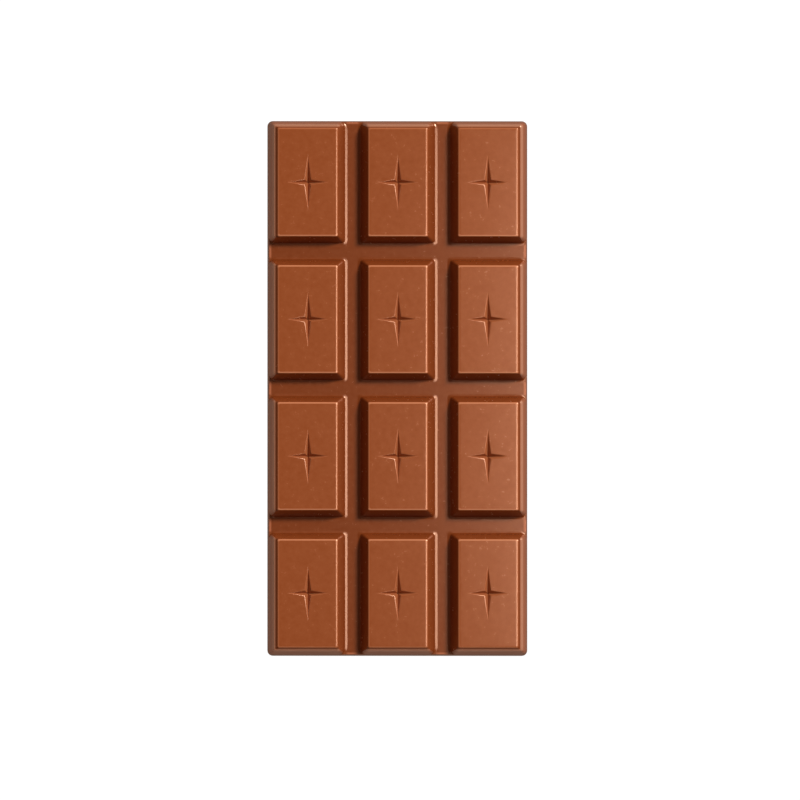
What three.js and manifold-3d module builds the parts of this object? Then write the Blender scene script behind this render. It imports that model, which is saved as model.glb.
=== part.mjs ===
// A moulded milk chocolate tablet, cast in one piece: bevelled blocks stand in rows on a thin slab,
// grooves part them, and each block's flat top has a shallow four-pointed star pressed into it.
// Millimetres, +Z up, X across the bar and Y along it. The origin is the middle of the flat underside.
import * as THREE from 'three';
import { mergeVertices } from 'three/addons/utils/BufferGeometryUtils.js';
import Module from 'manifold-3d';

// The whole bar
const BAR_LENGTH = 160;
const BAR_WIDTH = 77.75;
const BAR_HEIGHT = 8;
const BAR_CORNER = 1.6;            // radius of the bar's upright corners
const BASE_EDGE = 0.3;             // rounding of the edge round the underside

// The blocks and the grooves between them
const COLUMNS = 3;
const ROWS = 4;
const PITCH = { x: 26.9, y: 40.95 };
const BLOCK_TOP = { x: 17.75, y: 32.25 };   // the flat top, edge to edge
const BEVEL_RUN = { x: 3.06, y: 2.6 };      // a bevelled side in plan, from the top's edge to the groove
const BEVEL_FOOT = { out: 0.74, up: 0.15 }; // where the steep bevel ends and a low ramp goes on to the floor
const GROOVE_FLOOR = 2.8;                   // height of the grooves' flat floor
const RIM_ROUND = 0.07;                     // rounding along the top's edge, as a part of the bevel
const TOP_CORNER = 0.4;                     // corner radius at a block's top
const FOOT_CORNER = 1.2;                    // corner radius at a block's foot
const BURIED = 1.2;                         // how far a block is carried down into the slab

// The outer side, from the underside's outline in to the blocks' tops. The ways in are parts of that margin.
const MARGIN = {
  x: (BAR_WIDTH - (COLUMNS - 1) * PITCH.x - BLOCK_TOP.x) / 2,
  y: (BAR_LENGTH - (ROWS - 1) * PITCH.y - BLOCK_TOP.y) / 2,
};
const WALL_KNEE = { in: 0.2, up: 4.2 };     // where the drafted wall bends
const SHOULDER = { in: 0.48, up: 7 };       // where the wall ends in a narrow ledge round the blocks
const LEDGE = { in: 0.69, up: 7.15 };       // the back of the ledge, where a bevel goes on to the tops
const OVERSHOOT = 1;                        // how far cutting forms go on past the surface they cut

// The star
const STAR_ARM = { x: 5.75, y: 8.3 };       // from the centre to the tips
const STAR_WAIST = { x: 1.05, y: 0.95 };    // the inner corners between the arms
const STAR_DEPTH = 1.8;

// How finely the curves are cut
const CORNER_STEPS = 4;
const WALL_STEPS = 5;
const ROUND_STEPS = 3;

const chocolate = new THREE.MeshStandardMaterial({ color: 0x8f4a26, roughness: 0.42, metalness: 0 });

const wasm = await Module();
wasm.setup();

// A closed mesh as a solid that can be joined and cut
function toSolid(geometry) {
  const bare = geometry.clone();
  bare.deleteAttribute('normal');
  bare.deleteAttribute('uv');
  const merged = mergeVertices(bare);
  return new wasm.Manifold(new wasm.Mesh({
    numProp: 3,
    vertProperties: new Float32Array(merged.attributes.position.array),
    triVerts: new Uint32Array(merged.index.array),
  }));
}

function toGeometry(solid) {
  const mesh = solid.getMesh();
  const geometry = new THREE.BufferGeometry();
  geometry.setAttribute('position', new THREE.BufferAttribute(mesh.vertProperties, 3));
  geometry.setIndex(new THREE.BufferAttribute(mesh.triVerts, 1));
  geometry.computeVertexNormals();
  return geometry;
}

// The points of a level rectangle with round corners, counter-clockwise
function roundedRing(low, high, radius, z) {
  const points = [];
  for (let corner = 0; corner < 4; corner += 1) {
    const x = corner === 0 || corner === 3 ? high.x - radius : low.x + radius;
    const y = corner < 2 ? high.y - radius : low.y + radius;
    for (let step = 0; step <= CORNER_STEPS; step += 1) {
      const angle = (corner + step / CORNER_STEPS) * Math.PI / 2;
      points.push(new THREE.Vector3(x + radius * Math.cos(angle), y + radius * Math.sin(angle), z));
    }
  }
  return points;
}

// A closed skin over a stack of rings, lowest first, with a flat face below and above
function loft(rings) {
  const count = rings[0].length;
  const index = [];
  for (let level = 0; level < rings.length - 1; level += 1) {
    for (let i = 0; i < count; i += 1) {
      const a = level * count + i;
      const b = level * count + (i + 1) % count;
      index.push(a, b, b + count, a, b + count, a + count);
    }
  }
  const last = (rings.length - 1) * count;
  for (const [a, b, c] of THREE.ShapeUtils.triangulateShape(rings[0], [])) {
    index.push(c, b, a, last + a, last + b, last + c);
  }
  const geometry = new THREE.BufferGeometry().setFromPoints(rings.flat());
  geometry.setIndex(index);
  return geometry;
}

// The bar's outer form: x of the profile is the way in as a part of MARGIN
function outerForm() {
  const edge = BASE_EDGE / MARGIN.x;
  const bevel = (1 - LEDGE.in) / (BAR_HEIGHT - LEDGE.up);
  const profile = new THREE.Path();
  profile.moveTo(edge, 0);
  profile.quadraticCurveTo(0, 0, 0, BASE_EDGE);
  profile.quadraticCurveTo(WALL_KNEE.in, WALL_KNEE.up, SHOULDER.in, SHOULDER.up);
  profile.lineTo(LEDGE.in, LEDGE.up);
  profile.lineTo(1 + bevel * OVERSHOOT, BAR_HEIGHT + OVERSHOOT);
  const rings = profile.getPoints(WALL_STEPS).map((point) => {
    const half = new THREE.Vector2(
      BAR_WIDTH / 2 - point.x * MARGIN.x,
      BAR_LENGTH / 2 - point.x * MARGIN.y,
    );
    return roundedRing(half.clone().negate(), half, BAR_CORNER, point.y);
  });
  return toSolid(loft(rings));
}

// One block at the origin, in plan: x of the profile is the way out as a part of BEVEL_RUN.
// outer.x and outer.y are 1 or -1 on a side that goes out past the bar's outer form.
function blockForm(outer) {
  const drop = BAR_HEIGHT - GROOVE_FLOOR - BEVEL_FOOT.up;
  const profile = new THREE.Path();
  profile.moveTo(1, GROOVE_FLOOR - BURIED);
  profile.lineTo(1, GROOVE_FLOOR);
  profile.lineTo(BEVEL_FOOT.out, GROOVE_FLOOR + BEVEL_FOOT.up);
  profile.lineTo(RIM_ROUND, BAR_HEIGHT - drop * RIM_ROUND / BEVEL_FOOT.out);
  profile.quadraticCurveTo(0, BAR_HEIGHT, -RIM_ROUND, BAR_HEIGHT);
  const rings = profile.getPoints(ROUND_STEPS).map((point) => {
    const reach = new THREE.Vector2(
      BLOCK_TOP.x / 2 + point.x * BEVEL_RUN.x,
      BLOCK_TOP.y / 2 + point.x * BEVEL_RUN.y,
    );
    const low = new THREE.Vector2(
      outer.x < 0 ? -PITCH.x : -reach.x,
      outer.y < 0 ? -PITCH.y : -reach.y,
    );
    const high = new THREE.Vector2(
      outer.x > 0 ? PITCH.x : reach.x,
      outer.y > 0 ? PITCH.y : reach.y,
    );
    const spread = THREE.MathUtils.clamp(point.x, 0, 1);
    return roundedRing(low, high, THREE.MathUtils.lerp(TOP_CORNER, FOOT_CORNER, spread), point.y);
  });
  return toSolid(loft(rings));
}

// The star's cutter: an eight-sided cone drawn out to the tips and waist, its point down at the star's depth.
// It goes on with the same slopes above the block's top.
function starForm() {
  const overshoot = (STAR_DEPTH + OVERSHOOT) / STAR_DEPTH;
  const corners = 8;
  const cone = new THREE.ConeGeometry(1, STAR_DEPTH, corners, 1);
  cone.rotateX(-Math.PI / 2);
  cone.translate(0, 0, STAR_DEPTH / 2);
  const corner = cone.attributes.position;
  for (let i = 0; i < corner.count; i += 1) {
    const x = corner.getX(i);
    const y = corner.getY(i);
    const turn = Math.atan2(y, x) / (2 * Math.PI);
    const onArm = Math.round(turn * corners) % 2 === 0;
    const reachX = onArm ? STAR_ARM.x : STAR_WAIST.x * Math.SQRT2;
    const reachY = onArm ? STAR_ARM.y : STAR_WAIST.y * Math.SQRT2;
    corner.setXY(i, x * reachX, y * reachY);
  }
  cone.scale(overshoot, overshoot, overshoot);
  cone.translate(0, 0, BAR_HEIGHT - STAR_DEPTH);
  return toSolid(cone);
}

// -1 for the first place in a row, 1 for the last, 0 between them
function sideOf(place, count) {
  if (place === 0) return -1;
  return place === count - 1 ? 1 : 0;
}

function chocolateBar() {
  const slab = toSolid(new THREE.BoxGeometry(BAR_WIDTH * 2, BAR_LENGTH * 2, GROOVE_FLOOR * 2));
  const star = starForm();
  const outer = outerForm();
  let raised = slab;
  let stars = null;
  for (let column = 0; column < COLUMNS; column += 1) {
    for (let row = 0; row < ROWS; row += 1) {
      const x = (column - (COLUMNS - 1) / 2) * PITCH.x;
      const y = (row - (ROWS - 1) / 2) * PITCH.y;
      const block = blockForm({ x: sideOf(column, COLUMNS), y: sideOf(row, ROWS) });
      raised = raised.add(block.translate([x, y, 0]));
      const here = star.translate([x, y, 0]);
      stars = stars ? stars.add(here) : here;
    }
  }
  const mesh = new THREE.Mesh(toGeometry(raised.intersect(outer).subtract(stars)), chocolate);
  mesh.name = 'chocolate_bar';
  return mesh;
}

const bar = new THREE.Group();
bar.add(chocolateBar());

export default bar;
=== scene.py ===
import math
import bpy
import bmesh
from mathutils import Matrix, Vector


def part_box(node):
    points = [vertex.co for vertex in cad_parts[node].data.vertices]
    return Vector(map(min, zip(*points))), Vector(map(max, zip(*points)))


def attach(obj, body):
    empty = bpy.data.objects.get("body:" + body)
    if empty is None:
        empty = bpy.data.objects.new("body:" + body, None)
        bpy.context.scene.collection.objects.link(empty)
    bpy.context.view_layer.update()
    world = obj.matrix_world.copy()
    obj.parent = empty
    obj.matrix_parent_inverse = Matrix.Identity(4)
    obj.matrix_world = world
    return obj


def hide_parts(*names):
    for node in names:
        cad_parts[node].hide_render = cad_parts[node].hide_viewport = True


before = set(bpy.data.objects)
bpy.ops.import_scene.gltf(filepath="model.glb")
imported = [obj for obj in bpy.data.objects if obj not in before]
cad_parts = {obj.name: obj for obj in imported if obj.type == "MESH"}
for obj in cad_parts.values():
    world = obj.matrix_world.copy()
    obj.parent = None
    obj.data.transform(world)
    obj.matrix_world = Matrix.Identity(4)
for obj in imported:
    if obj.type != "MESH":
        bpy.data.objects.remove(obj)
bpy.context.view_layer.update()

mm = 0.001
near = 0.001 * mm                                   # closer than this is the same place
nearWall = 10 * near                                # closer to the outer wall than this is on it
ringGap = 12 * near                                 # rings of points stand at least this far apart
halfWidth, halfLength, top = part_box("chocolate_bar")[1]

barPlan = {
    "columns": 3,
    "rows": 4,
    "pitch": (26.9 * mm, 40.95 * mm),
    "blockTop": (17.75 * mm, 32.25 * mm),           # flat top of a block, edge to edge
    "bevelRun": (3.06 * mm, 2.6 * mm),              # bevelled side in plan
    "footOut": 0.74,                                # the steep bevel ends here, as a part of its run
    "footUp": 0.15 * mm,                            # and a low ramp goes on from this height
    "grooveFloor": 2.8 * mm,
    "rimFlat": 0.24,                                # roundings, as parts of the runs that they join
    "rimSlope": 0.08,
    "footSlope": 0.05,
    "footRamp": 0.14,
    "toe": 0.05,
    "topCorner": 0.4 * mm,                          # corner radii in plan
    "footCorner": 1.2 * mm,
    "mouthCorner": 2.1 * mm,                        # where a groove runs out at the side of the bar
    "barCorner": 1.6 * mm,
    "rimSteps": 6,
    "footSteps": 3,
    "cornerSteps": 5,
    "sideCuts": (7, 11),                            # along a block's short and long sides
    "smoothAngle": 34,                              # degrees: sharper edges than this stay sharp
}

wallPlan = {                                        # outer side: ways in are parts of the margin
    "knee": (0.2, 4.2 * mm),                        # the drafted wall bends here
    "shoulder": (0.57, 7.05 * mm),                  # and ends here, in a narrow ledge round the blocks
    "ledge": (0.69, 7.15 * mm),                     # back of the ledge, at the foot of the bevel
    "rimFlat": 0.2,                                 # roundings, as for the blocks
    "rimSlope": 0.15,
    "footSlope": 0.08,
    "footRamp": 0.25,
    "shoulderFlat": 0.4,
    "shoulderDown": 0.14,
    "rimSteps": 4,
    "footSteps": 3,
    "shoulderSteps": 5,
    "curveSteps": 50,                               # the wall's curve, of which wallSteps points are kept
    "wallSteps": 8,
    "edge": 0.3 * mm,                               # round edge of the underside
    "edgeSteps": 4,
    "lipRound": 0.4 * mm,                           # round lip where a groove floor runs out
    "lipSteps": 4,
    "lipSlope": 0.9,                                # a lip's steep face has a normal lower than this
    "clearOfFloor": 0.1 * mm,                       # no cut of the wall is nearer to the groove floor
}

starPlan = {
    "arm": (5.6 * mm, 7.4 * mm),
    "waist": (0.92 * mm, 0.78 * mm),
    "depth": 1.8 * mm,
    "rimRound": 0.2,                                # soft rim, as a part of the star's size
    "rimSteps": 7,
}

lastOne = (barPlan["columns"] - 1, barPlan["rows"] - 1)


def editMesh():
    return bmesh.from_edit_mesh(bpy.context.object.data)


def pick(kind, test):                               # select by place, in edit mode
    bpy.ops.mesh.select_mode(type=kind)
    bpy.ops.mesh.select_all(action='DESELECT')
    mesh = editMesh()
    for item in {'VERT': mesh.verts, 'EDGE': mesh.edges, 'FACE': mesh.faces}[kind]:
        if test(item):
            item.select_set(True)
    bmesh.update_edit_mesh(bpy.context.object.data)


def samePlace(a, b):
    return abs(a - b) < near


def level(edge, z):                                 # an edge that lies at one height
    return all(samePlace(v.co.z, z) for v in edge.verts)


def bend(start, middle, end, steps):                # points of a rounding between two straight runs
    points = []
    for step in range(steps + 1):
        t = step / steps
        points.append(tuple((1 - t) ** 2 * a + 2 * t * (1 - t) * b + t * t * c
                            for a, b, c in zip(start, middle, end)))
    return points


def joinAll(pieces):
    bpy.ops.object.select_all(action='DESELECT')
    for piece in pieces:
        piece.select_set(True)
    bpy.context.view_layer.objects.active = pieces[0]
    bpy.ops.object.join()
    return pieces[0]


def between(a, b, share):
    return tuple(p + (q - p) * share for p, q in zip(a, b))


def along(profile, z):                              # how far out or in a profile is at a height
    for (start, above), (end, below) in zip(profile, profile[1:]):
        if z >= below:
            return start + (end - start) * (above - z) / (above - below)
    return profile[-1][0]


def wallProfile():                                  # (way in, height) from the tops down the outer side
    edge, ledge, shoulder = (1, top), wallPlan["ledge"], wallPlan["shoulder"]
    steps = wallPlan["curveSteps"]
    wall = bend(shoulder, wallPlan["knee"], (0, wallPlan["edge"]), steps)
    start = int(steps * wallPlan["shoulderDown"])
    profile = bend((1 + wallPlan["rimFlat"], top), edge, between(edge, ledge, wallPlan["rimSlope"]),
                   wallPlan["rimSteps"])
    profile += bend(between(ledge, edge, wallPlan["footSlope"]), ledge,
                    between(ledge, shoulder, wallPlan["footRamp"]), wallPlan["footSteps"])
    profile += bend(between(shoulder, ledge, wallPlan["shoulderFlat"]), shoulder, wall[start],
                    wallPlan["shoulderSteps"])
    return profile + wall[start::(steps - start) // wallPlan["wallSteps"]][1:] + wall[-1:]


def bevelProfile():                                 # (way out, height) from a top down to the floor
    floor = barPlan["grooveFloor"]
    edge, foot, toe = (0, top), (barPlan["footOut"], floor + barPlan["footUp"]), (1, floor)
    profile = bend((-barPlan["rimFlat"], top), edge, between(edge, foot, barPlan["rimSlope"]),
                   barPlan["rimSteps"])
    profile += bend(between(foot, edge, barPlan["footSlope"]), foot,
                    between(foot, toe, barPlan["footRamp"]), barPlan["footSteps"])
    return profile + bend(between(toe, foot, barPlan["footRamp"]), toe, (1 + barPlan["toe"], floor),
                          barPlan["footSteps"])


def wallAt(z):                                      # half width and half length of the bar at a height
    inward = along(wallSide, z)
    half = []
    for axis, outline in ((0, halfWidth), (1, halfLength)):
        margin = outline - lastOne[axis] / 2 * barPlan["pitch"][axis] - barPlan["blockTop"][axis] / 2
        half.append(outline - inward * margin)
    return half


wallSide = wallProfile()
bevelSide = bevelProfile()
ringHeights = [z for _, z in bevelSide]             # both profiles have their points on the same rings
for _, z in wallSide:
    if z > barPlan["grooveFloor"] and all(abs(z - other) > ringGap for other in ringHeights):
        ringHeights.append(z)
ringHeights.sort(reverse=True)
floorSides = wallAt(barPlan["grooveFloor"])


def layRing(low, high, z, radii):                   # a loop of edges: a rectangle with round corners
    bpy.ops.object.select_all(action='DESELECT')
    bpy.ops.mesh.primitive_plane_add(size=1)
    bpy.ops.object.mode_set(mode='EDIT')
    bpy.ops.transform.resize(value=(high[0] - low[0], high[1] - low[1], 1))
    bpy.ops.transform.translate(value=((low[0] + high[0]) / 2, (low[1] + high[1]) / 2, z))
    for (cornerX, cornerY), radius in radii.items():
        pick('VERT', lambda v: samePlace(v.co.x, cornerX) and samePlace(v.co.y, cornerY))
        bpy.ops.mesh.bevel(offset=radius, segments=barPlan["cornerSteps"], affect='VERTICES')
    bpy.ops.mesh.select_all(action='SELECT')
    bpy.ops.mesh.delete(type='ONLY_FACE')
    for axis in (0, 1):                             # cut the straight sides
        pick('EDGE', lambda e: samePlace(e.verts[0].co[1 - axis], e.verts[1].co[1 - axis]))
        bpy.ops.mesh.subdivide(number_cuts=barPlan["sideCuts"][axis])
    bpy.ops.object.mode_set(mode='OBJECT')
    return bpy.context.object


def carveStar():                                    # a shallow star-shaped pit with a soft rim
    rim = starPlan["rimRound"]
    depth = starPlan["depth"]
    bpy.ops.object.select_all(action='DESELECT')
    bpy.ops.mesh.primitive_circle_add(vertices=8, radius=mm, fill_type='TRIFAN')
    bpy.ops.object.mode_set(mode='EDIT')
    reach = ((lambda v: samePlace(v.co.y, 0), (starPlan["arm"][0] / mm, 1, 1)),
             (lambda v: samePlace(v.co.x, 0), (1, starPlan["arm"][1] / mm, 1)),
             (lambda v: not samePlace(v.co.x, 0) and not samePlace(v.co.y, 0),
              tuple(math.sqrt(2) * side / mm for side in starPlan["waist"]) + (1,)))
    for test, size in reversed(reach):
        pick('VERT', test)
        bpy.ops.transform.resize(value=size, center_override=(0, 0, 0))
    profile = bend((1 - rim, -rim * depth), (1, 0), (1 + rim, 0), starPlan["rimSteps"])
    pick('VERT', lambda v: v.co.xy.length < near)
    bpy.ops.transform.translate(value=(0, 0, -depth))
    pick('VERT', lambda v: v.co.xy.length > near)
    size, down = profile[0]
    bpy.ops.transform.resize(value=(size, size, 1), center_override=(0, 0, 0))
    bpy.ops.transform.translate(value=(0, 0, down))
    pick('EDGE', lambda e: e.is_boundary)
    for nextSize, nextDown in profile[1:]:
        bpy.ops.mesh.extrude_region_move(TRANSFORM_OT_translate={"value": (0, 0, nextDown - down)})
        grow = nextSize / size
        bpy.ops.transform.resize(value=(grow, grow, 1), center_override=(0, 0, 0))
        size, down = nextSize, nextDown
    bpy.ops.mesh.select_all(action='SELECT')
    bpy.ops.transform.translate(value=(0, 0, top))
    bpy.ops.object.mode_set(mode='OBJECT')
    return bpy.context.object


def makeBlock(outerX, outerY):                      # true where that side is a side of the bar
    pieces = [carveStar()]
    for z in ringHeights:
        out = along(bevelSide, z)
        reachX = barPlan["blockTop"][0] / 2 + out * barPlan["bevelRun"][0]
        reachY = barPlan["blockTop"][1] / 2 + out * barPlan["bevelRun"][1]
        wall = wallAt(z)
        highX = wall[0] - lastOne[0] / 2 * barPlan["pitch"][0] if outerX else reachX
        highY = wall[1] - lastOne[1] / 2 * barPlan["pitch"][1] if outerY else reachY
        spread = min(max(out, 0), 1)
        radii = {}
        for x, isOuterX in ((-reachX, False), (highX, outerX)):
            for y, isOuterY in ((-reachY, False), (highY, outerY)):
                kind = ("footCorner", "mouthCorner", "barCorner")[isOuterX + isOuterY]
                radii[(x, y)] = barPlan["topCorner"] + spread * (barPlan[kind] - barPlan["topCorner"])
        pieces.append(layRing((-reachX, -reachY), (highX, highY), z, radii))
    block = joinAll(pieces)
    bpy.ops.object.mode_set(mode='EDIT')
    pick('EDGE', lambda e: level(e, top))
    bpy.ops.mesh.fill(use_beauty=True)              # the flat top round the star
    for above, below in zip(ringHeights, ringHeights[1:]):
        pick('EDGE', lambda e: len(e.link_faces) < 2 and (level(e, above) or level(e, below)))
        bpy.ops.mesh.bridge_edge_loops()
    bpy.ops.object.mode_set(mode='OBJECT')
    return block


def placeBlocks():
    models = {(x, y): makeBlock(x, y) for x in (False, True) for y in (False, True)}
    lastColumn, lastRow = lastOne
    copies = []
    for column in range(barPlan["columns"]):
        for row in range(barPlan["rows"]):
            bpy.ops.object.select_all(action='DESELECT')
            model = models[(column in (0, lastColumn), row in (0, lastRow))]
            model.select_set(True)
            bpy.context.view_layer.objects.active = model
            bpy.ops.object.duplicate()
            copy = bpy.context.object
            copy.scale = (-1 if column == 0 else 1, -1 if row == 0 else 1, 1)
            copy.location = ((column - lastColumn / 2) * barPlan["pitch"][0],
                             (row - lastRow / 2) * barPlan["pitch"][1], 0)
            bpy.ops.object.transform_apply(location=True, rotation=True, scale=True)
            copies.append(copy)
    for model in models.values():
        bpy.data.objects.remove(model)
    return copies


def isSideEdge(edge):                               # on the side of the bar, at the floor's height
    corner = barPlan["barCorner"]
    for axis in (0, 1):
        if all(abs(abs(v.co[axis]) - floorSides[axis]) < nearWall for v in edge.verts):
            return True
    return all(abs(v.co[axis]) > floorSides[axis] - corner - near for v in edge.verts for axis in (0, 1))


def makeBar():
    floor = barPlan["grooveFloor"]
    bar = joinAll(placeBlocks())
    bar.name = "moulded_bar"
    bpy.ops.object.mode_set(mode='EDIT')
    for axis in (0, 1):                             # close the groove ends along the side of the bar
        for sign in (-1, 1):
            row = [v for v in editMesh().verts
                   if samePlace(v.co.z, floor) and abs(v.co[axis] - sign * floorSides[axis]) < nearWall]
            row.sort(key=lambda v: v.co[1 - axis])
            gaps = [(a.index, b.index) for a, b in zip(row, row[1:])
                    if not any(e.other_vert(a) == b for e in a.link_edges)]
            for gap in gaps:
                pick('VERT', lambda v: v.index in gap)
                bpy.ops.mesh.edge_face_add()
    print("groove ends", sum(e.is_wire for e in editMesh().edges))
    pick('EDGE', lambda e: level(e, floor) and (e.is_wire or (e.is_boundary and not isSideEdge(e))))
    bpy.ops.mesh.fill(use_beauty=True)              # the groove floors
    pick('EDGE', lambda e: e.is_boundary)
    print("bar outline", sum(e.select for e in editMesh().edges), "edges")
    size = floorSides
    shape = [(wallAt(z), z) for _, z in wallSide if z < floor - wallPlan["clearOfFloor"]]
    edge = wallPlan["edge"]
    for inward, z in bend((0, edge), (0, 0), (edge, 0), wallPlan["edgeSteps"])[1:]:
        shape.append(((halfWidth - inward, halfLength - inward), z))
    height = floor
    for nextSize, z in shape:                       # down the side and round the bottom edge
        bpy.ops.mesh.extrude_region_move(TRANSFORM_OT_translate={"value": (0, 0, z - height)})
        grow = (nextSize[0] / size[0], nextSize[1] / size[1], 1)
        bpy.ops.transform.resize(value=grow, center_override=(0, 0, 0))
        size, height = nextSize, z
    bpy.ops.mesh.edge_face_add()                    # the flat back
    bpy.ops.mesh.select_all(action='SELECT')
    bpy.ops.mesh.remove_doubles(threshold=near / 4)
    bpy.ops.mesh.normals_make_consistent(inside=False)
    pick('EDGE', lambda e: level(e, floor) and e.calc_length() > 2 * barPlan["mouthCorner"]
         and any(abs(f.normal.z) < wallPlan["lipSlope"] for f in e.link_faces) and isSideEdge(e))
    bpy.ops.mesh.bevel(offset=wallPlan["lipRound"], segments=wallPlan["lipSteps"], affect='EDGES')
    bpy.ops.object.mode_set(mode='OBJECT')
    bpy.ops.object.shade_smooth_by_angle(angle=math.radians(barPlan["smoothAngle"]))
    bar.modifiers.new("faceNormals", 'WEIGHTED_NORMAL').keep_sharp = True
    bpy.ops.object.modifier_apply(modifier="faceNormals")
    return bar


chocolatePlan = {
    "darker": (0.252, 0.0550, 0.0125),              # the mottling runs between these two
    "paler": (0.278, 0.0645, 0.0160),
    "mottleSize": 700.0,                            # patches per metre
    "mottleDetail": 6.0,
    "mottleRoughness": 0.62,
    "mottleRange": (0.30, 0.70),                    # the part of the noise that is used
    "grooveShadePaint": (0.65, 0.56, 0.43),                 # painted shade: how much darker the grooves get, down to the floor
    "bevelShare": 0.46,                             # part of that painted shade which a bevel has from its top on
    "outerBevelShade": (0.74, 0.64, 0.48),                # painted shade on the bevels on the outer side
    "lowWallShade": (0.55, 0.50, 0.46),                 # painted shade on the outer wall, darker towards the underside
    "rimHighlight": (0.37, 0.108, 0.040),                # painted highlight along the edges of the tops and of the stars
    "endHighlight": (0.52, 0.185, 0.085),                # a stronger painted highlight at a block's ends
    "rimDepth": (0.006 * mm, 0.03 * mm, 0.10 * mm, 0.26 * mm),      # starts, is full, fades, ends
    "ledgeHighlight": (0.36, 0.150, 0.085),              # painted highlight on the ledge round the outer side
    "lipHighlight": (0.36, 0.105, 0.045),                # painted highlight on the lips where the grooves run out
    "starSideLight": (0.35, 0.105, 0.038),               # painted light on the sides of the stars
    "wallFade": (0.15 * mm, 0.55 * mm),             # in from the drafted wall
    "topFade": (0.8 * mm, 0.4 * mm),                # in from a top's edge
    "endFade": (0.8 * mm, 1.0 * mm),                # in from the tops' edge at the bar's own ends
    "outerFade": 0.2 * mm,                          # out from the outer blocks' tops
    "bevelFade": (0.05 * mm, 0.45 * mm),            # down from the tops
    "grooveFade": 0.5 * mm,
    "starFade": (0.1 * mm, 0.4 * mm),
    "backFade": 1.0 * mm,                           # up from the underside
    "lowFade": 0.4 * mm,                            # down from the shoulder
    "ledgeFade": (1.6 * mm, 0.1 * mm),
    "lipFade": (0.5 * mm, 0.25 * mm),               # down from the groove floor
    "lipEnds": (0.6 * mm, 0.2 * mm),                # before and past the foot of the bevels
    "specularTint": (1.0, 0.62, 0.42),
    "specularLevel": 0.85,
    "roughness": (0.22, 0.28),
    "wallRoughness": 0.15,                          # added on the outer wall, which drags on the mould
    "backRoughness": 0.22,                          # and on the flat back, which no mould has touched
    "wallSlope": (0.55, 0.35),                      # a normal's height where the wall's part starts, is full
    "grainSize": 1300.0,
    "grainDetail": 1.0,
    "grainStrength": 0.5,
    "grainHeight": 0.001 * mm,
}


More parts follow.
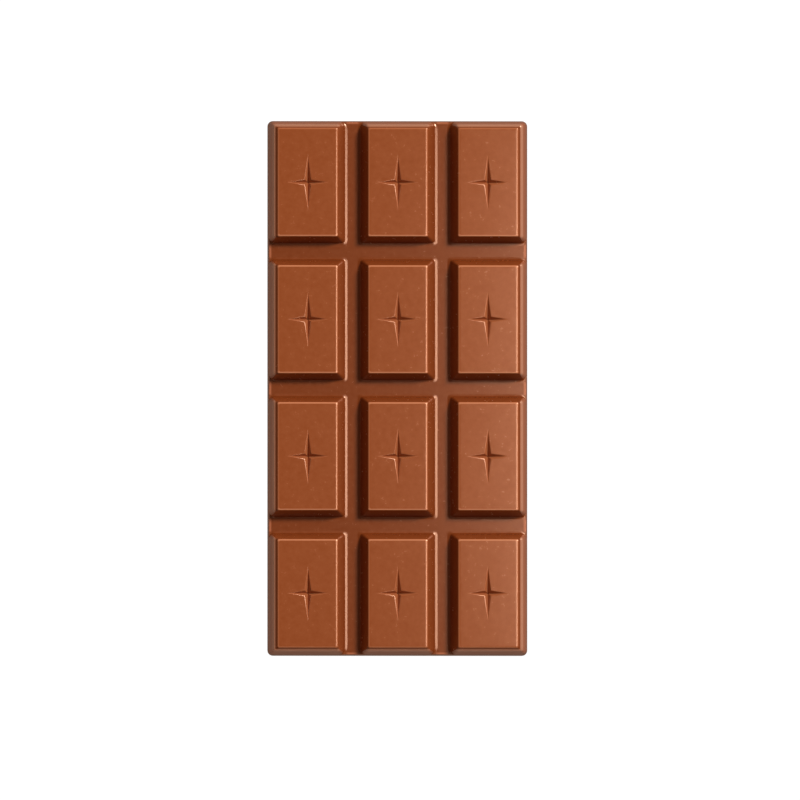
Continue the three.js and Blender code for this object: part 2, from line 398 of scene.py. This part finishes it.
def makeChocolate():
    material = bpy.data.materials.new("milk_chocolate_satin")
    material.use_nodes = True
    nodes = material.node_tree.nodes
    link = material.node_tree.links.new
    shader = nodes["Principled BSDF"]
    shader.inputs["Specular Tint"].default_value = chocolatePlan["specularTint"] + (1,)
    shader.inputs["Specular IOR Level"].default_value = chocolatePlan["specularLevel"]
    place = nodes.new("ShaderNodeTexCoord")
    axes = nodes.new("ShaderNodeSeparateXYZ")
    link(place.outputs["Object"], axes.inputs["Vector"])
    height = axes.outputs["Z"]
    facing = nodes.new("ShaderNodeNewGeometry")
    upright = nodes.new("ShaderNodeSeparateXYZ")
    link(facing.outputs["Normal"], upright.inputs["Vector"])

    def ramp(value, low, high, most=1.0):           # 0 at low, most at high, with a soft start and end
        node = nodes.new("ShaderNodeMapRange")
        node.interpolation_type = 'SMOOTHSTEP'
        node.inputs["From Min"].default_value = low
        node.inputs["From Max"].default_value = high
        node.inputs["To Max"].default_value = most
        link(value, node.inputs["Value"])
        return node.outputs["Result"]

    def combine(operation, *values):
        node = nodes.new("ShaderNodeMath")
        node.operation = operation
        for socket, value in zip(node.inputs, values):
            if isinstance(value, float):
                socket.default_value = value
            else:
                link(value, socket)
        return node.outputs["Value"]

    def blend(factor, a, colour, kind='MIX'):
        node = nodes.new("ShaderNodeMix")
        node.data_type = 'RGBA'
        node.blend_type = kind
        node.inputs["B"].default_value = colour + (1,)
        link(factor, node.inputs["Factor"])
        link(a, node.inputs["A"])
        return node.outputs["Result"]

    mottle = nodes.new("ShaderNodeTexNoise")
    mottle.inputs["Scale"].default_value = chocolatePlan["mottleSize"]
    mottle.inputs["Detail"].default_value = chocolatePlan["mottleDetail"]
    mottle.inputs["Roughness"].default_value = chocolatePlan["mottleRoughness"]
    link(place.outputs["Object"], mottle.inputs["Vector"])
    tone = nodes.new("ShaderNodeValToRGB")
    shades = (chocolatePlan["darker"], chocolatePlan["paler"])
    for stop, position, shade in zip(tone.color_ramp.elements, chocolatePlan["mottleRange"], shades):
        stop.position = position
        stop.color = shade + (1,)
    link(mottle.outputs["Fac"], tone.inputs["Fac"])

    floor = barPlan["grooveFloor"]
    shoulder = wallPlan["shoulder"][1]
    within = []                                     # 0 on the drafted outer wall, 1 on all that it holds
    for axis, outline, ridge in zip("XY", (halfWidth, halfLength), wallAt(shoulder)):
        reach = combine('MULTIPLY_ADD', height, (outline - ridge) / shoulder,
                        combine('ABSOLUTE', axes.outputs[axis]))
        within.append(ramp(reach, *(outline - way for way in chocolatePlan["wallFade"])))
    inside = combine('MULTIPLY', *within)
    outside = combine('SUBTRACT', 1.0, inside)

    offTops, outers, grooves = [], [], []           # off the tops, out past all of them, between them
    before, past = chocolatePlan["lipEnds"]
    plans = zip("XY", barPlan["pitch"], barPlan["blockTop"], barPlan["bevelRun"], lastOne)
    for axis, pitch, width, run, last in plans:
        fromFirst = combine('ADD', axes.outputs[axis], last / 2 * pitch)
        fromMiddle = combine('PINGPONG', fromFirst, pitch / 2)
        offTops.append(ramp(fromMiddle, *(width / 2 - way for way in chocolatePlan["topFade"])))
        foot = width / 2 + run
        grooves.append(ramp(fromMiddle, foot - before, foot + past))
        edge = (last * pitch + width) / 2
        away = combine('ABSOLUTE', axes.outputs[axis])
        outers.append(ramp(away, edge, edge + chocolatePlan["outerFade"]))
    # block ends along the bar, where the rims' painted highlight is stronger
    notBarEnds = ramp(away, *(edge - way for way in chocolatePlan["endFade"]))     # along the bar
    ends = combine('MULTIPLY', offTops[1], notBarEnds)
    offTop = combine('MAXIMUM', *offTops)
    # the outer bevels, which get painted shade
    outer = combine('MULTIPLY', combine('MAXIMUM', *outers), inside)
    outer = combine('MULTIPLY', outer, ramp(height, shoulder, wallPlan["ledge"][1]))

    # painted shade in the grooves: darker the deeper a point lies, off the tops and clear of the outer wall
    bevelShare = chocolatePlan["bevelShare"]
    grooveShade = combine('ADD', ramp(height, *(top - way for way in chocolatePlan["bevelFade"]), bevelShare),
                   ramp(height, top - chocolatePlan["grooveFade"], floor, 1 - bevelShare))
    grooveShade = combine('MULTIPLY', grooveShade, offTop)
    grooveShade = combine('MULTIPLY', grooveShade, ramp(height, wallPlan["edge"], chocolatePlan["backFade"]))
    grooveShade = combine('MULTIPLY', grooveShade, inside)
    # painted shade on the outer wall, from the shoulder down to the underside
    low = combine('MULTIPLY', outside, ramp(height, shoulder - chocolatePlan["lowFade"], 0.0))
    # painted highlight in a thin band round the rims of the tops and the stars
    start, full, fade, end = (top - way for way in chocolatePlan["rimDepth"])
    rim = combine('MULTIPLY', ramp(height, start, full), ramp(height, end, fade))
    rim = combine('MULTIPLY', rim, inside)
    # painted highlight on the ledge round the outer side
    ledge = ramp(height, *(shoulder - way for way in chocolatePlan["ledgeFade"]))
    ledge = combine('MULTIPLY', outside, ledge)
    # painted highlight on the lips where the grooves run out
    lips = []
    for groove, held in zip(reversed(grooves), within):
        lips.append(combine('MULTIPLY', combine('SUBTRACT', 1.0, held), groove))
    lip = ramp(height, *(floor - way for way in chocolatePlan["lipFade"]))
    lip = combine('MULTIPLY', combine('MAXIMUM', *lips), lip)
    # painted light on the sides of the stars
    pit = ramp(height, *(top - way for way in chocolatePlan["starFade"]))
    pit = combine('MULTIPLY', pit, combine('SUBTRACT', 1.0, offTop))

    # painted shade in the grooves
    colour = blend(grooveShade, tone.outputs["Color"], chocolatePlan["grooveShadePaint"], 'MULTIPLY')
    # painted shade on the outer bevels
    colour = blend(outer, colour, chocolatePlan["outerBevelShade"], 'MULTIPLY')
    # painted shade on the lower outer wall
    colour = blend(low, colour, chocolatePlan["lowWallShade"], 'MULTIPLY')
    # painted light on the star sides
    colour = blend(pit, colour, chocolatePlan["starSideLight"])
    # painted highlight on the rims
    colour = blend(rim, colour, chocolatePlan["rimHighlight"])
    # stronger painted highlight at the block ends
    colour = blend(combine('MULTIPLY', rim, ends), colour, chocolatePlan["endHighlight"])
    # painted highlight on the outer ledge
    colour = blend(ledge, colour, chocolatePlan["ledgeHighlight"])
    # painted highlight on the groove lips
    colour = blend(lip, colour, chocolatePlan["lipHighlight"])
    link(colour, shader.inputs["Base Color"])

    sheen = nodes.new("ShaderNodeMapRange")
    limits = zip(("Min", "Max"), chocolatePlan["mottleRange"], chocolatePlan["roughness"])
    for limit, noise, rough in limits:
        sheen.inputs["From " + limit].default_value = noise
        sheen.inputs["To " + limit].default_value = rough
    link(mottle.outputs["Fac"], sheen.inputs["Value"])
    steep = ramp(upright.outputs["Z"], *chocolatePlan["wallSlope"], chocolatePlan["wallRoughness"])
    dull = combine('ADD', sheen.outputs["Result"], combine('MULTIPLY', steep, outside))
    dull = combine('ADD', dull, ramp(height, wallPlan["edge"], 0.0, chocolatePlan["backRoughness"]))
    link(dull, shader.inputs["Roughness"])

    grain = nodes.new("ShaderNodeTexNoise")
    grain.inputs["Scale"].default_value = chocolatePlan["grainSize"]
    grain.inputs["Detail"].default_value = chocolatePlan["grainDetail"]
    link(place.outputs["Object"], grain.inputs["Vector"])
    relief = nodes.new("ShaderNodeBump")
    relief.inputs["Strength"].default_value = chocolatePlan["grainStrength"]
    relief.inputs["Distance"].default_value = chocolatePlan["grainHeight"]
    link(grain.outputs["Fac"], relief.inputs["Height"])
    link(relief.outputs["Normal"], shader.inputs["Normal"])
    return material


stagePlan = {
    "floorSize": 5.0,
    "floorDrop": 0.1 * mm,                          # a hair under the bar
    "floorColour": (0.05, 0.05, 0.05),
    "floorRoughness": 0.9,
    "floorGlow": (1.02, 1.02, 1.02),                # keeps the ground white round the bar
    "floorInGloss": (0.39, 0.28, 0.21),             # the ground as the bar's gloss shows it
    "roomGlow": (0.15, 0.108, 0.078),
    "backdrop": (1.0, 1.0, 1.0),                    # the room as the camera sees it, past the floor
    "keyFrom": (0.72, 0.58, 1.0),
    "keyDistance": 4.0,
    "keySize": 0.8,
    "keyPower": 206.0,
    "panelAt": (0.105, -0.002, 0.25),               # a near soft panel on the right, for the gloss
    "panelSize": (0.085, 0.19),
    "panelPower": 0.46,
    "stripAt": (0.0, -0.46, 0.385),                 # a low strip at the near end, for the near rims
    "stripSize": (0.5, 0.12),
    "stripPower": 0.28,
    "aim": (0.81 * mm, -3.45 * mm, 0.0),
    "lean": (1.5, 1.6),                             # degrees that the camera stands off the upright
    "cameraDistance": 10.0,
    "clipEnd": 50.0,
    "sensor": 36.0,
    "view": 239.3 * mm,                             # width of the picture at the bar
}


def seenAs(tree, ray, usual, other):                # a colour that one kind of ray sees another way
    path = tree.nodes.new("ShaderNodeLightPath")
    colour = tree.nodes.new("ShaderNodeMix")
    colour.data_type = 'RGBA'
    colour.inputs["A"].default_value = usual + (1,)
    colour.inputs["B"].default_value = other + (1,)
    tree.links.new(path.outputs[ray], colour.inputs["Factor"])
    return colour.outputs["Result"]


def makeStage():
    bpy.ops.object.select_all(action='DESELECT')
    bpy.ops.mesh.primitive_plane_add(size=stagePlan["floorSize"],
                                     location=(0, 0, -stagePlan["floorDrop"]))
    floor = bpy.context.object
    floor.name = "floor"
    material = bpy.data.materials.new("pale_floor")
    material.use_nodes = True
    tree = material.node_tree
    shader = tree.nodes["Principled BSDF"]
    shader.inputs["Base Color"].default_value = stagePlan["floorColour"] + (1,)
    shader.inputs["Roughness"].default_value = stagePlan["floorRoughness"]
    shader.inputs["Specular IOR Level"].default_value = 0.0
    shader.inputs["Emission Strength"].default_value = 1.0
    glow = seenAs(tree, "Is Glossy Ray", stagePlan["floorGlow"], stagePlan["floorInGloss"])
    tree.links.new(glow, shader.inputs["Emission Color"])
    below = tree.nodes.new("ShaderNodeNewGeometry")          # clear from below, to show the flat back
    clear = tree.nodes.new("ShaderNodeBsdfTransparent")
    oneSided = tree.nodes.new("ShaderNodeMixShader")
    tree.links.new(below.outputs["Backfacing"], oneSided.inputs[0])
    tree.links.new(shader.outputs["BSDF"], oneSided.inputs[1])
    tree.links.new(clear.outputs["BSDF"], oneSided.inputs[2])
    tree.links.new(oneSided.outputs["Shader"], tree.nodes["Material Output"].inputs["Surface"])
    material.cycles.emission_sampling = 'NONE'
    floor.data.materials.append(material)

    world = bpy.data.worlds.new("dim_studio")
    world.use_nodes = True
    room = seenAs(world.node_tree, "Is Camera Ray", stagePlan["roomGlow"], stagePlan["backdrop"])
    world.node_tree.links.new(room, world.node_tree.nodes["Background"].inputs["Color"])
    bpy.context.scene.world = world

    toKey = Vector(stagePlan["keyFrom"]).normalized()
    bpy.ops.object.light_add(type='AREA', location=toKey * stagePlan["keyDistance"])
    key = bpy.context.object
    key.name = "softbox"
    key.rotation_euler = toKey.to_track_quat('Z', 'Y').to_euler()
    key.data.size = stagePlan["keySize"]
    key.data.energy = stagePlan["keyPower"]

    for light, upAxis in (("panel", 'X'), ("strip", 'Y')):
        place = Vector(stagePlan[light + "At"])
        bpy.ops.object.light_add(type='AREA', location=place)
        lamp = bpy.context.object
        lamp.name = "gloss_" + light
        lamp.rotation_euler = place.to_track_quat('Z', upAxis).to_euler()
        lamp.data.shape = 'RECTANGLE'
        lamp.data.size, lamp.data.size_y = stagePlan[light + "Size"]
        lamp.data.energy = stagePlan[light + "Power"]
        lamp.visible_diffuse = False                # for the gloss alone


def makeCamera():
    aim = Vector(stagePlan["aim"])
    leanX, leanY = (math.tan(math.radians(angle)) for angle in stagePlan["lean"])
    away = Vector((-leanX, -leanY, 1)).normalized()
    across = Vector((0, 1, 0)).cross(away).normalized()      # keeps the bar upright in the picture
    up = away.cross(across)
    bpy.ops.object.camera_add(location=aim + away * stagePlan["cameraDistance"])
    camera = bpy.context.object
    camera.rotation_euler = Matrix((across, up, away)).transposed().to_euler()
    camera.data.sensor_width = stagePlan["sensor"]
    camera.data.lens = stagePlan["sensor"] * stagePlan["cameraDistance"] / stagePlan["view"]
    camera.data.clip_end = stagePlan["clipEnd"]
    bpy.context.scene.camera = camera


print("bar", [round(side / mm, 2) for side in (2 * halfWidth, 2 * halfLength, top)], "mm")
bar = makeBar()
bar.data.materials.clear()
bar.data.materials.append(makeChocolate())
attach(bar, "root")
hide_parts("chocolate_bar")
print("bar modelled,", len(bar.data.polygons), "faces")

makeStage()
makeCamera()
bpy.context.scene.view_settings.view_transform = 'Standard'
print("stage, light and camera set")
